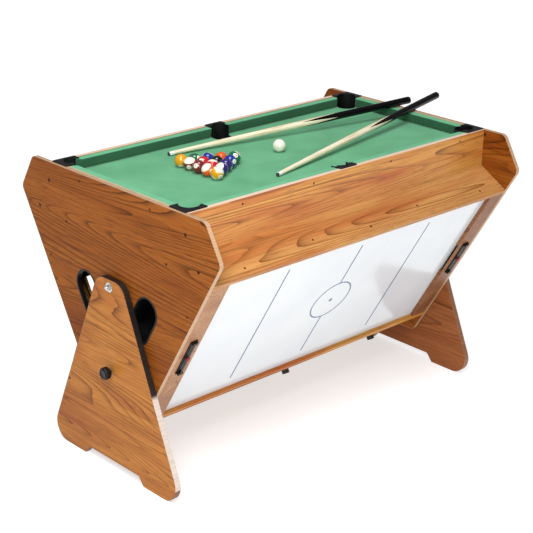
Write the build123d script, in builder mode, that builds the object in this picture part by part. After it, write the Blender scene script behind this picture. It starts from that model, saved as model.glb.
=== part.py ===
"""Mini pool table: a three-sided games table that revolves between two A-shaped end legs.

Frame: +Z up, X along the table, millimetres.  The pool face is up.  The air-hockey face
looks down to the front and the table-football face looks down to the back.
Each playing face has its own directions: along (X), across, and out from the pivot axis.
"""
import os
from math import cos, radians, sin, tan

from build123d import *

# ---- Driving dimensions --------------------------------------------------------------
LENGTH = 1200.0                # outside to outside of the two end panels
PIVOT_HEIGHT = 558.0           # pivot axis above the floor
RIM = 281.0                    # pivot axis to the rim of every playing face
CORNER_REACH = 460.0           # pivot axis to the three cut-off corners of an end panel
PANEL = 12.0                   # end panel thickness
BAND = 1.0                     # plastic edge banding
APRON_OUTER = 292.0            # half width over the two aprons of a face
APRON = 15.0                   # apron board thickness
GAP = 3.0                      # between an end panel and its leg
LEG = 18.0                     # leg thickness
BALL_D = 38.1                  # pool ball
MID_X = -42.2                  # table's middle, so that the frame's origin is mid-box

POOL, HOCKEY, FOOTBALL = 0.0, 120.0, -120.0      # turn of each face about the pivot axis
FACES = (POOL, HOCKEY, FOOTBALL)
ENDS = (-1, 1)                                   # near end, far end
END_NAMES = {-1: "near", 1: "far"}

# ---- Worked out from the above -------------------------------------------------------
HALF = LENGTH / 2
INNER = HALF - PANEL                             # inside face of an end panel
LEG_IN = HALF + GAP
LEG_OUT = LEG_IN + LEG
APRON_INNER = APRON_OUTER - APRON
MITRE = tan(radians(60))                         # neighbouring aprons meet on this slope
PIVOT = Vector(MID_X, 0, PIVOT_HEIGHT)

# Pool face
CLOTH_TOP = RIM - 32.0
CLOTH = 1.0
POOL_BED = 9.0
POOL_END = 8.0                                   # thin board behind each end cushion
CUSHION_TOP = RIM - 1.0
CUSHION_NOSE = 23.5                              # nose out from the board
POCKET_INNER, POCKET_OUTER = 28.0, 30.0          # liner radii
CORNER_POCKET = (547.0, 246.0)
SIDE_POCKET = 246.0
POCKET_FLOOR = RIM - 78.0
PLATE = 3.0                                      # pocket plate on the rim
PLATE_LIP = 1.5                                  # raised edge round a pocket's mouth
PLATE_ROUND = 4.0

# Hockey face
RINK_DEPTH = 12.0
RINK = 6.0
GOAL_FACE = 527.0                                # inner face of both games' end rails
GOAL_HALF = 60.0                                 # half width of every goal mouth
SCORE_X = 557.0
SCORE_HALF = 67.0

# Football face
PITCH_DEPTH = 95.0
PITCH = 6.0
ROD_DEPTH = 40.0
ROD_R = 6.5
ROD_CLEAR = 0.08
ROD_STEPS = (60.0, 255.0, 450.0)                 # rods stand at plus and minus these
ROD_TRAVEL = 80.0
ROD_PULLED = {4: 14.0, 6: 14.0}                  # these rods stand pulled out a little
MEN_ROWS = {60.0: (-150.0, 0.0, 150.0), 255.0: (-100.0, 100.0), 450.0: (0.0,)}

# End panel fittings
HAND_HOLE = (146.0, 80.0)                        # slot, overall
HAND_HOLE_OUT = 134.0                            # its centre, out from the pivot
TRIM_GROW, TRIM_FLANGE_GROW, TRIM_FLANGE = 5.0, 9.0, 1.5       # its lining and the flange
LOCK_OUT = 250.0
PIVOT_R = 5.0
BUSH_R = 8.0
INSERT_R = 4.5
SHANK_R = 3.0


# ---- Planes of a playing face --------------------------------------------------------
def out_of(turn):
    """Unit vector out of a playing face."""
    return Vector(0, -sin(radians(turn)), cos(radians(turn)))


def across(turn):
    """Unit vector across a playing face."""
    return Vector(0, cos(radians(turn)), sin(radians(turn)))


def face_plane(turn, out):
    """Plane parallel to a playing face; local x along the table, local y across."""
    return Plane(origin=PIVOT + out_of(turn) * out, x_dir=(1, 0, 0), z_dir=out_of(turn))


def section_plane(turn, x):
    """Cross-section of a face; local x across, local y out from the pivot."""
    return Plane(origin=PIVOT + Vector(x, 0, 0), x_dir=across(turn), z_dir=(1, 0, 0))


def rod_plane(turn, out):
    """Plane through a face's centre line, square to the rods; local x along the table."""
    return Plane(origin=PIVOT + out_of(turn) * out, x_dir=(1, 0, 0), z_dir=across(turn))


def outward(turn, x, end):
    """Section plane whose normal points out of the given end of the table."""
    plane = section_plane(turn, end * x)
    return plane if end > 0 else Plane(plane.origin, x_dir=-plane.x_dir, z_dir=(-1, 0, 0))


def save(shape, name):
    """Label a finished piece and write it."""
    shape.label = name
    export_step(shape, f"parts/{name}.step")


def save_group(shapes, name):
    """Write separate solids that share one node."""
    solids = [solid for shape in shapes for solid in shape.solids()]
    save(Compound(children=solids), name)


# ---- Stand ---------------------------------------------------------------------------
LEG_TOP = 22.5                                   # above the pivot
LEG_TOP_HALF = 54.0
FOOT_HALF = 299.0
ARCH_HALF = 112.0
ARCH_HEIGHT = 26.0
ARCH_SLOPE = 22.0
LEG_TOP_ROUND, FOOT_ROUND, ARCH_ROUND = 44.0, 52.0, 10.0


def leg_outline():
    """A-shaped leg: narrow rounded top, straight sides, two feet and an arch between."""
    with BuildSketch(Plane.XY) as outline:
        with BuildLine():
            Polyline(
                (-LEG_TOP_HALF, LEG_TOP), (LEG_TOP_HALF, LEG_TOP),
                (FOOT_HALF, -PIVOT_HEIGHT), (ARCH_HALF + ARCH_SLOPE, -PIVOT_HEIGHT),
                (ARCH_HALF, ARCH_HEIGHT - PIVOT_HEIGHT),
                (-ARCH_HALF, ARCH_HEIGHT - PIVOT_HEIGHT),
                (-ARCH_HALF - ARCH_SLOPE, -PIVOT_HEIGHT), (-FOOT_HALF, -PIVOT_HEIGHT),
                close=True,
            )
        make_face()
        top = outline.vertices().filter_by(lambda v: v.Y > 0)
        fillet(top, LEG_TOP_ROUND)
        feet = outline.vertices().filter_by(lambda v: v.Y < 1 - PIVOT_HEIGHT)
        fillet(feet.filter_by(lambda v: abs(v.X) > FOOT_HALF - 1), FOOT_ROUND)
        fillet(
            outline.vertices().filter_by(
                lambda v: ARCH_HALF - 1 < abs(v.X) < ARCH_HALF + 1 and v.Y > 2 - PIVOT_HEIGHT
            ),
            ARCH_ROUND,
        )
    return outline.sketch


def leg(end):
    """One leg board, and the edge band round it down to the feet."""
    plane = outward(POOL, LEG_IN, end)
    outline = leg_outline()
    with BuildPart() as band:
        with BuildSketch(plane):
            add(outline)
            offset(amount=-BAND, mode=Mode.SUBTRACT)
            with Locations((0, BAND - PIVOT_HEIGHT)):
                Rectangle(2 * FOOT_HALF, 2 * BAND + 0.5, mode=Mode.SUBTRACT)
        extrude(amount=LEG)
    with BuildPart() as board:
        with BuildSketch(plane):
            add(outline)
            Circle(PIVOT_R, mode=Mode.SUBTRACT)
            with Locations((0, -LOCK_OUT)):
                Circle(SHANK_R + ROD_CLEAR, mode=Mode.SUBTRACT)
        extrude(amount=LEG)
        add(band.part, mode=Mode.SUBTRACT)
    return board.part, band.part


HEAD_R, HEAD_T = 9.0, 6.0
HEAD_INSIDE = 8.0                                # bolt head's face, inside the panel
BOLT_OUTSIDE = 13.0                              # bolt's end, outside the leg
NUT_T = 8.0
WASHER_R, WASHER_T = 14.0, 1.5
BUSH_FLANGE = 1.2
BUSH_PLAY = 0.2                                  # between the bush and the spacer
BUSH_CLEAR = 0.05                                # round the pivot bolt


def pivot_bolt(end):
    """Hexagon-nutted bolt from inside the panel out through the leg."""
    head_start = INNER - HEAD_INSIDE
    with BuildPart() as bolt:
        with BuildSketch(outward(POOL, head_start, end)):
            Circle(HEAD_R)
        extrude(amount=HEAD_T)
        with BuildSketch(outward(POOL, head_start + HEAD_T, end)):
            Circle(PIVOT_R)
        extrude(amount=LEG_OUT + BOLT_OUTSIDE - head_start - HEAD_T)
    with BuildPart() as nut:
        with BuildSketch(outward(POOL, LEG_OUT + WASHER_T, end)):
            RegularPolygon(HEAD_R, 6)
            Circle(PIVOT_R, mode=Mode.SUBTRACT)
        extrude(amount=NUT_T)
    return [bolt.part, nut.part]


def pivot_washers(end):
    """Steel washer under the nut and a plastic spacer between leg and panel."""
    rings = []
    inside = BUSH_FLANGE + BUSH_PLAY
    for start, thick in ((LEG_OUT, WASHER_T), (HALF + inside, GAP - inside)):
        with BuildPart() as ring:
            with BuildSketch(outward(POOL, start, end)):
                Circle(WASHER_R)
                Circle(PIVOT_R, mode=Mode.SUBTRACT)
            extrude(amount=thick)
        rings.append(ring.part)
    return rings


KNOB_R, KNOB_T, KNOB_ROUND = 18.0, 20.0, 4.0
KNOB_TRAVEL = 6.0
NECK_R, NECK_T = 11.0, 5.0
SHANK_START = HALF + 1.0                         # clear of the panel while backed off


def lock_knob(end):
    """Locking knob, backed off so that the table can turn; it goes in by its travel."""
    neck_start = LEG_OUT + KNOB_TRAVEL + 1
    with BuildPart() as knob:
        with BuildSketch(outward(POOL, SHANK_START, end)):
            with Locations((0, -LOCK_OUT)):
                Circle(SHANK_R)
        extrude(amount=neck_start - SHANK_START)
        with BuildSketch(outward(POOL, neck_start, end)):
            with Locations((0, -LOCK_OUT)):
                Circle(NECK_R)
        extrude(amount=NECK_T)
        with BuildSketch(outward(POOL, neck_start + NECK_T, end)):
            with Locations((0, -LOCK_OUT)):
                Circle(KNOB_R)
        extrude(amount=KNOB_T)
        fillet(knob.faces().sort_by(Axis.X)[0 if end < 0 else -1].edges(), KNOB_ROUND)
    return knob.part


# ---- End panels ----------------------------------------------------------------------
PANEL_ROUND = 22.0
SCREW_R, SCREW_DEPTH, SCREW_SINK = 3.5, 11.0, 1.0
FACE_SCREW = (152.0, 257.0)                      # across, out
CORNER_BOLT = (50.0, 367.0)                      # across a corner, out towards it
CORNER_BOLT_R = 5.5


def panel_outline():
    """Six-sided panel: three long sides at the rims, three short ones at the corners."""
    size = 3 * CORNER_REACH
    with BuildSketch(Plane.XY) as outline:
        Rectangle(size, size)
        for turn in FACES:
            away = turn + 180
            for angle, reach in ((turn, RIM), (away, CORNER_REACH)):
                centre = reach + size / 2
                spot = (-centre * sin(radians(angle)), centre * cos(radians(angle)))
                with Locations(Location((*spot, 0), (0, 0, angle))):
                    Rectangle(2 * size, size, mode=Mode.SUBTRACT)
        fillet(outline.vertices(), PANEL_ROUND)
    return outline.sketch


def face_spot(turn, v, out, sign):
    """A point of a face's cross-section, in panel coordinates."""
    c, s = cos(radians(turn)), sin(radians(turn))
    return (sign * (v * c - out * s), v * s + out * c)


def panel_screw_sketch(plane, sign):
    """Screw and bolt outlines on a plane of the panel."""
    with BuildSketch(plane) as outlines:
        for turn in FACES:
            v, out = FACE_SCREW
            with Locations(*[face_spot(turn, side * v, out, sign) for side in (-1, 1)]):
                Circle(SCREW_R)
            v, out = CORNER_BOLT
            with Locations(*[face_spot(turn, side * v, -out, sign) for side in (-1, 1)]):
                Circle(CORNER_BOLT_R)
    return outlines.sketch


def hand_hole_spots(sign):
    """Centres and angles of the hand holes of the hockey and football faces."""
    return [
        Location((*face_spot(turn, 0, HAND_HOLE_OUT, sign), 0), (0, 0, sign * turn))
        for turn in (HOCKEY, FOOTBALL)
    ]


def lock_spots(sign):
    """Insert centres: one is at the bottom whichever face is up."""
    return [face_spot(turn + 180, 0, LOCK_OUT, sign) for turn in FACES]


def end_panel(end):
    """One end panel, and the edge band round it."""
    plane = outward(POOL, INNER, end)
    outline = panel_outline()
    with BuildPart() as band:
        with BuildSketch(plane):
            add(outline)
            offset(amount=-BAND, mode=Mode.SUBTRACT)
        extrude(amount=PANEL)
    with BuildPart() as panel:
        with BuildSketch(plane):
            add(outline)
            offset(amount=-BAND, mode=Mode.INTERSECT)
            Circle(BUSH_R, mode=Mode.SUBTRACT)
            with Locations(*lock_spots(end)):
                Circle(INSERT_R, mode=Mode.SUBTRACT)
            with Locations(*hand_hole_spots(end)):
                SlotOverall(*[size + TRIM_GROW for size in HAND_HOLE], mode=Mode.SUBTRACT)
        extrude(amount=PANEL)
        add(panel_screw_sketch(outward(POOL, HALF - SCREW_DEPTH, end), end))
        extrude(amount=SCREW_DEPTH, dir=plane.z_dir, mode=Mode.SUBTRACT)
    return panel.part, band.part


def panel_screws(end):
    """Screws and bolts sunk a little below the panel's face."""
    plane = outward(POOL, HALF - SCREW_DEPTH, end)
    with BuildPart() as screws:
        add(panel_screw_sketch(plane, end))
        extrude(amount=SCREW_DEPTH - SCREW_SINK, dir=plane.z_dir)
    return screws.part


def pivot_bushing(end):
    """Flanged steel bush that turns on the pivot bolt."""
    with BuildPart() as bush:
        with BuildSketch(outward(POOL, INNER, end)):
            Circle(BUSH_R)
            Circle(PIVOT_R + BUSH_CLEAR, mode=Mode.SUBTRACT)
        extrude(amount=PANEL)
        with BuildSketch(outward(POOL, HALF, end)):
            Circle(WASHER_R)
            Circle(PIVOT_R + BUSH_CLEAR, mode=Mode.SUBTRACT)
        extrude(amount=BUSH_FLANGE)
    return bush.part


def lock_inserts(end):
    """Steel sleeves that take the lock knob's shank."""
    with BuildPart() as sleeves:
        with BuildSketch(outward(POOL, INNER, end)):
            with Locations(*lock_spots(end)):
                Circle(INSERT_R)
                Circle(SHANK_R + ROD_CLEAR, mode=Mode.SUBTRACT)
        extrude(amount=PANEL)
    return sleeves.part


def return_trims(end):
    """Plastic rings that line the hand holes."""
    with BuildPart() as trims:
        with BuildSketch(outward(POOL, INNER, end)):
            with Locations(*hand_hole_spots(end)):
                SlotOverall(*[size + TRIM_GROW for size in HAND_HOLE])
                SlotOverall(*HAND_HOLE, mode=Mode.SUBTRACT)
        extrude(amount=PANEL)
        with BuildSketch(outward(POOL, HALF, end)):
            with Locations(*hand_hole_spots(end)):
                SlotOverall(*[size + TRIM_FLANGE_GROW for size in HAND_HOLE])
                SlotOverall(*HAND_HOLE, mode=Mode.SUBTRACT)
        extrude(amount=TRIM_FLANGE)
    return trims.part


# ---- Aprons --------------------------------------------------------------------------
POOL_SCREWS = ((-404.0, 265.0), (-143.0, 265.0), (168.0, 265.0), (475.0, 265.0))      # x, out
GAME_SCREWS = ((-464.0, 256.0), (-202.0, 238.0), (13.0, 254.0), (225.0, 236.0), (491.0, 256.0))
SCREWED_APRONS = ((POOL, -1, POOL_SCREWS), (POOL, 1, POOL_SCREWS), (HOCKEY, 1, GAME_SCREWS))


def apron_plane(turn, side):
    """Plane on an apron's outer face, with local x along the table and local y out."""
    aside = across(turn) * side
    return Plane(origin=PIVOT + aside * APRON_OUTER, x_dir=aside.cross(out_of(turn)), z_dir=aside)


def apron_screw_sketch(turn, side, spots, depth):
    """Screw outlines at a depth below an apron's outer face."""
    plane = apron_plane(turn, side).offset(-depth)
    flip = plane.x_dir.X
    with BuildSketch(plane) as outlines:
        with Locations(*[(flip * x, out * plane.y_dir.dot(out_of(turn))) for x, out in spots]):
            Circle(SCREW_R)
    return outlines.sketch


def apron_screws(turn, side, spots):
    """Screws through an apron into the boards of its face, a little below its surface."""
    with BuildPart() as screws:
        add(apron_screw_sketch(turn, side, spots, SCREW_DEPTH))
        extrude(amount=SCREW_DEPTH - SCREW_SINK, dir=across(turn) * side)
    return screws.part


def apron(turn, side):
    """Long board beside a face, mitred to the next face's board at the groove."""
    with BuildPart() as board:
        with BuildSketch(section_plane(turn, -INNER)):
            Polygon(
                (side * APRON_INNER, APRON_INNER / MITRE), (side * APRON_INNER, RIM),
                (side * APRON_OUTER, RIM), (side * APRON_OUTER, APRON_OUTER / MITRE),
                align=None,
            )
        extrude(amount=2 * INNER)
        for screwed, its_side, spots in SCREWED_APRONS:
            if (screwed, its_side) == (turn, side):
                add(apron_screw_sketch(turn, side, spots, SCREW_DEPTH))
                extrude(amount=SCREW_DEPTH, dir=across(turn) * side, mode=Mode.SUBTRACT)
    return board.part


BEARING_R, BEARING_FLANGE, BEARING_FLANGE_T = 9.0, 12.0, 2.0


def rod_places():
    """Every football rod: name number, place along the table and side of its handle."""
    handles = {450.0: 1, 255.0: -1, 60.0: 1, -60.0: -1, -255.0: 1, -450.0: -1}
    places = sorted(handles)
    return [(number + 1, x, handles[x]) for number, x in enumerate(places)]


def football_apron(side):
    """Football apron with a hole for every rod's bearing."""
    with BuildPart() as board:
        add(apron(FOOTBALL, side))
        with BuildSketch(rod_plane(FOOTBALL, RIM - ROD_DEPTH)):
            with Locations(*[(x, 0) for _, x, _ in rod_places()]):
                Circle(BEARING_R)
        extrude(amount=side * (APRON_OUTER + 5), mode=Mode.SUBTRACT)
    return board.part


def rod_bearings():
    """Flanged plastic bearings, two to a rod."""
    rings = []
    for side in (-1, 1):
        for _, x, _ in rod_places():
            plane = rod_plane(FOOTBALL, RIM - ROD_DEPTH).offset(side * APRON_INNER)
            with BuildPart() as ring:
                with BuildSketch(plane):
                    with Locations((x, 0)):
                        Circle(BEARING_R)
                extrude(amount=side * APRON)
                with BuildSketch(plane.offset(side * APRON)):
                    with Locations((x, 0)):
                        Circle(BEARING_FLANGE)
                extrude(amount=side * BEARING_FLANGE_T)
                with BuildSketch(plane):
                    with Locations((x, 0)):
                        Circle(ROD_R + ROD_CLEAR)
                extrude(amount=side * (APRON + BEARING_FLANGE_T), mode=Mode.SUBTRACT)
            rings.append(ring.part)
    return rings


# ---- Pool face -----------------------------------------------------------------------
POOL_HALF = INNER - POOL_END                     # bed half length, between the end boards
BED_TOP = CLOTH_TOP - CLOTH
END_BOARD = 70.0                                 # height of a pool end board
CUSHION_SQUARE, CUSHION_CUT = 8.0, 7.0           # nose height, and how far its foot is cut back
END_CUSHION_SHORT = 20.0                         # end cushions stop short of the aprons
CUP_FLOOR = 2.0


def pocket_spots():
    """Centres of the six pockets on the pool face."""
    x, v = CORNER_POCKET
    corners = [(sx * x, sv * v) for sx in (-1, 1) for sv in (-1, 1)]
    return corners + [(0, -SIDE_POCKET), (0, SIDE_POCKET)]


def pool_sheet(out, thick):
    """A sheet across the pool face with its six pocket holes."""
    with BuildPart() as sheet:
        with BuildSketch(face_plane(POOL, out)):
            Rectangle(2 * POOL_HALF, 2 * APRON_INNER)
            with Locations(*pocket_spots()):
                Circle(POCKET_OUTER, mode=Mode.SUBTRACT)
        extrude(amount=thick)
    return sheet.part


def pool_end(end):
    """Thin board between the end panel and the bed."""
    with BuildPart() as board:
        with BuildSketch(outward(POOL, POOL_HALF, end)):
            with Locations((0, RIM - END_BOARD / 2)):
                Rectangle(2 * APRON_INNER, END_BOARD)
        extrude(amount=POOL_END)
    return board.part


def cushion_profile(wall, side):
    """Cushion section against a wall: flat top, square nose, face cut back below it."""
    nose = wall - CUSHION_NOSE
    return [
        (side * wall, CLOTH_TOP), (side * wall, CUSHION_TOP), (side * nose, CUSHION_TOP),
        (side * nose, CUSHION_TOP - CUSHION_SQUARE), (side * (nose + CUSHION_CUT), CLOTH_TOP),
    ]


MOUTH = POCKET_OUTER * 1.43                      # 45 degree cuts pass this far from a pocket


def pocket_cut(x, v, sx, sv):
    """Vertical 45 degree plane beside a corner pocket; its normal points at the pocket."""
    origin = PIVOT + Vector(x, v, 0)
    return Plane(origin=origin, x_dir=(0, 0, 1), z_dir=(sx, sv, 0))


def long_cushion(side):
    """Two lengths of cushion between a corner pocket, the side pocket and the other corner."""
    lengths = []
    for end in ENDS:
        with BuildPart() as rubber:
            with BuildSketch(section_plane(POOL, end * (POCKET_OUTER + 1))):
                Polygon(*cushion_profile(APRON_INNER, side), align=None)
            extrude(amount=end * (POOL_HALF - 2 * POCKET_OUTER))
            x, v = end * (CORNER_POCKET[0] - MOUTH), side * CORNER_POCKET[1]
            split(bisect_by=pocket_cut(x, v, end, -side), keep=Keep.BOTTOM)
        lengths.append(rubber.part)
    return lengths


def end_cushion(end):
    """Cushion along one end, between two corner pockets."""
    plane = Plane(origin=PIVOT, x_dir=(1, 0, 0), z_dir=(0, -1, 0))
    with BuildPart() as rubber:
        with BuildSketch(plane):
            Polygon(*cushion_profile(POOL_HALF, end), align=None)
        extrude(amount=APRON_INNER - END_CUSHION_SHORT, both=True)
        for side in (-1, 1):
            x, v = end * CORNER_POCKET[0], side * (CORNER_POCKET[1] - MOUTH)
            split(bisect_by=pocket_cut(x, v, -end, side), keep=Keep.BOTTOM)
    return rubber.part


def pocket_cup(x, v):
    """Round liner and cup of one pocket, still whole above the bed."""
    with BuildPart() as cup:
        with BuildSketch(face_plane(POOL, POCKET_FLOOR)):
            with Locations((x, v)):
                Circle(POCKET_OUTER)
        extrude(amount=RIM - POCKET_FLOOR)
        with BuildSketch(face_plane(POOL, POCKET_FLOOR + CUP_FLOOR)):
            with Locations((x, v)):
                Circle(POCKET_INNER)
        extrude(amount=RIM - POCKET_FLOOR, mode=Mode.SUBTRACT)
    return cup.part


CORNER_PLATE = (76.0, 67.0)                      # along, across
CORNER_PLATE_EDGE = (593.0, 286.0)               # its outer corner laps over the end panel
SIDE_PLATE = (66.0, 23.0)
SIDE_PLATE_EDGE = 287.0
FLARE = 0.3                                      # a mouth widens by this on each side
MOUTH_LENGTH = 90.0                              # from the pocket's centre, past the plate
LIP_WIDTH = 0.5                                  # past the liner


def pocket_mouth(turn, x, v):
    """A pocket's open mouth: round at the pocket, widening towards the table."""
    wide = POCKET_INNER + FLARE * MOUTH_LENGTH
    with BuildSketch(Plane.XY) as opening:
        Circle(POCKET_INNER)
        Polygon(
            (0, -POCKET_INNER), (MOUTH_LENGTH, -wide), (MOUTH_LENGTH, wide), (0, POCKET_INNER),
            align=None,
        )
    return opening.sketch.rotate(Axis.Z, turn).translate((x, v, 0))


def pocket_casting(x, v, turn, plate, plate_mid):
    """One pocket: rim plate with a raised lip, and a liner open to the table above the bed."""
    opening = pocket_mouth(turn, x, v)
    with BuildPart() as casting:
        add(pocket_cup(x, v))
        with BuildSketch(face_plane(POOL, RIM)):
            with Locations(plate_mid):
                RectangleRounded(*plate, PLATE_ROUND)
            add(opening, mode=Mode.SUBTRACT)
        extrude(amount=PLATE)
        with BuildSketch(face_plane(POOL, RIM)):
            with Locations(plate_mid):
                RectangleRounded(*plate, PLATE_ROUND)
            with Locations((x, v)):
                Circle(POCKET_OUTER + LIP_WIDTH, mode=Mode.INTERSECT)
            add(opening, mode=Mode.SUBTRACT)
        extrude(amount=PLATE + PLATE_LIP)
        with BuildSketch(face_plane(POOL, CLOTH_TOP)):
            with Locations(Location((x, v, 0), (0, 0, turn))):
                Rectangle(MOUTH_LENGTH, 4 * POCKET_OUTER, align=(Align.MIN, Align.CENTER))
        extrude(amount=RIM - CLOTH_TOP, mode=Mode.SUBTRACT)
    return casting.part


def corner_pocket(sx, sv):
    """Pocket that opens diagonally, its plate over the corner of rail and panel."""
    turn = {(1, 1): 225, (-1, 1): 315, (-1, -1): 45, (1, -1): 135}[(sx, sv)]
    plate_mid = (
        sx * (CORNER_PLATE_EDGE[0] - CORNER_PLATE[0] / 2),
        sv * (CORNER_PLATE_EDGE[1] - CORNER_PLATE[1] / 2),
    )
    x, v = sx * CORNER_POCKET[0], sv * CORNER_POCKET[1]
    return pocket_casting(x, v, turn, CORNER_PLATE, plate_mid)


def side_pocket(side):
    """Pocket in the middle of a long rail."""
    plate_mid = (0, side * (SIDE_PLATE_EDGE - SIDE_PLATE[1] / 2))
    return pocket_casting(0, side * SIDE_POCKET, -90 * side, SIDE_PLATE, plate_mid)


# ---- Hockey face ---------------------------------------------------------------------
RINK_TOP = RIM - RINK_DEPTH
SLOT_ROOF = 4.0                                  # left above a hockey goal slot
GOAL_DROP = (535.0, 575.0)                       # hole in the field behind a goal slot


def hockey_field():
    """White field board with a drop hole behind each goal."""
    with BuildPart() as board:
        with BuildSketch(face_plane(HOCKEY, RINK_TOP - RINK)):
            Rectangle(2 * INNER, 2 * APRON_INNER)
            for end in ENDS:
                with Locations((end * sum(GOAL_DROP) / 2, 0)):
                    size = (GOAL_DROP[1] - GOAL_DROP[0], 2 * GOAL_HALF)
                    Rectangle(*size, mode=Mode.SUBTRACT)
        extrude(amount=RINK)
    return board.part


def hockey_end(end):
    """Wide end rail with the goal slot under its inner edge."""
    with BuildPart() as rail:
        with BuildSketch(face_plane(HOCKEY, RINK_TOP)):
            with Locations((end * (INNER + GOAL_FACE) / 2, 0)):
                Rectangle(INNER - GOAL_FACE, 2 * APRON_INNER)
        extrude(amount=RINK_DEPTH)
        with BuildSketch(face_plane(HOCKEY, RINK_TOP)):
            with Locations((end * (GOAL_DROP[1] + GOAL_FACE) / 2, 0)):
                Rectangle(GOAL_DROP[1] - GOAL_FACE, 2 * GOAL_HALF)
        extrude(amount=RINK_DEPTH - SLOT_ROOF, mode=Mode.SUBTRACT)
    return rail.part


SCORE_BASE, SCORE_POST, SCORE_WIDE = 3.0, 10.0, 24.0
SCORE_POST_SIZE = (16.0, 8.0)                    # across the base, along it
SCORE_ROD_R = 2.0
SCORE_ROD_OUT = RIM + SCORE_BASE + 5
SCORE_ROD_HALF = SCORE_HALF - 2


def score_rail(end):
    """Plastic scorer base with a post at each end."""
    with BuildPart() as rail:
        with BuildSketch(face_plane(HOCKEY, RIM)):
            with Locations((end * SCORE_X, 0)):
                Rectangle(SCORE_WIDE, 2 * SCORE_HALF)
        extrude(amount=SCORE_BASE)
        with BuildSketch(face_plane(HOCKEY, RIM)):
            for side in (-1, 1):
                with Locations((end * SCORE_X, side * (SCORE_HALF - SCORE_POST_SIZE[1] / 2))):
                    Rectangle(*SCORE_POST_SIZE)
        extrude(amount=SCORE_POST)
        with BuildSketch(rod_plane(HOCKEY, SCORE_ROD_OUT)):
            with Locations((end * SCORE_X, 0)):
                Circle(SCORE_ROD_R)
        extrude(amount=SCORE_ROD_HALF, both=True, mode=Mode.SUBTRACT)
    return rail.part


def score_rod(end):
    """Steel rod between the posts of a scorer."""
    with BuildPart() as rod:
        with BuildSketch(rod_plane(HOCKEY, SCORE_ROD_OUT)):
            with Locations((end * SCORE_X, 0)):
                Circle(SCORE_ROD_R)
        extrude(amount=SCORE_ROD_HALF, both=True)
    return rod.part


MARKER_R, MARKER_LENGTH = 4.5, 12.0


def score_marker(end):
    """Red marker that slides along the scorer's rod."""
    with BuildPart() as marker:
        with BuildSketch(rod_plane(HOCKEY, SCORE_ROD_OUT)):
            with Locations((end * SCORE_X, 0)):
                Circle(MARKER_R)
                Circle(SCORE_ROD_R + 0.05, mode=Mode.SUBTRACT)
        extrude(amount=MARKER_LENGTH / 2, both=True)
    return marker.part


# ---- Goal boxes ----------------------------------------------------------------------
BOX_HALF, BOX_WALL, BOX_LOW = 79.0, 2.5, 86.0


def goal_box(turn, end, start, top, mouth):
    """Black tray behind a goal: it drops what comes in to the hand hole in the panel.

    mouth is the lowest and highest part of an opening in its inner wall, or None.
    """
    with BuildPart() as box:
        with BuildSketch(outward(turn, start, end)):
            with Locations((0, (BOX_LOW + top) / 2)):
                Rectangle(2 * BOX_HALF, top - BOX_LOW)
        extrude(amount=INNER - start)
        with BuildSketch(outward(turn, start + BOX_WALL, end)):
            low = BOX_LOW + BOX_WALL
            with Locations((0, (low + top) / 2)):
                Rectangle(2 * (BOX_HALF - BOX_WALL), top - low)
        extrude(amount=INNER - start - BOX_WALL, mode=Mode.SUBTRACT)
        if mouth:
            with BuildSketch(outward(turn, start, end)):
                with Locations((0, sum(mouth) / 2)):
                    Rectangle(2 * GOAL_HALF, mouth[1] - mouth[0])
            extrude(amount=BOX_WALL, mode=Mode.SUBTRACT)
    return box.part


# ---- Football face -------------------------------------------------------------------
PITCH_TOP = RIM - PITCH_DEPTH
END_WALL = 8.0
SHELF = 10.0
GOAL_HEIGHT = 46.0


def football_field():
    """Green football field board."""
    with BuildPart() as board:
        with BuildSketch(face_plane(FOOTBALL, PITCH_TOP - PITCH)):
            Rectangle(2 * GOAL_FACE, 2 * APRON_INNER)
        extrude(amount=PITCH)
    return board.part


def football_end(end):
    """End wall with the goal mouth, and the shelf from it out to the panel."""
    with BuildPart() as wall:
        low = PITCH_TOP - PITCH
        with BuildSketch(outward(FOOTBALL, GOAL_FACE, end)):
            with Locations((0, (low + RIM) / 2)):
                Rectangle(2 * APRON_INNER, RIM - low)
            with Locations((0, PITCH_TOP + GOAL_HEIGHT / 2)):
                Rectangle(2 * GOAL_HALF, GOAL_HEIGHT, mode=Mode.SUBTRACT)
        extrude(amount=END_WALL)
        with BuildSketch(outward(FOOTBALL, GOAL_FACE + END_WALL, end)):
            with Locations((0, RIM - SHELF / 2)):
                Rectangle(2 * APRON_INNER, SHELF)
        extrude(amount=INNER - GOAL_FACE - END_WALL)
    return wall.part


HANDLE_R, HANDLE_LENGTH = 12.0, 100.0
HANDLE_START = APRON_OUTER + BEARING_FLANGE_T + 3
HANDLE_SOLID, HANDLE_ROUND = 8.0, 3.0            # left closed at a handle's end
ROD_PROUD = 4.0                                  # bare end past the bearing when pulled out
BUMPER_R, BUMPER_T = 13.0, 14.0
MAN_THICK = 11.0
FOOT, FOOT_OUT, FOOT_THICK = (16.0, 10.0), 46.0, 18.0
HUB_R, HUB_LENGTH = ROD_R + 3, 24.0              # a man's sleeve on his rod


def rod_line(x):
    """Plane square to a rod, at the middle of the face; local y is out from the pivot."""
    return Plane(
        origin=PIVOT + Vector(x, 0, 0) + out_of(FOOTBALL) * (RIM - ROD_DEPTH),
        x_dir=(-1, 0, 0), z_dir=across(FOOTBALL),
    )


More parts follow.
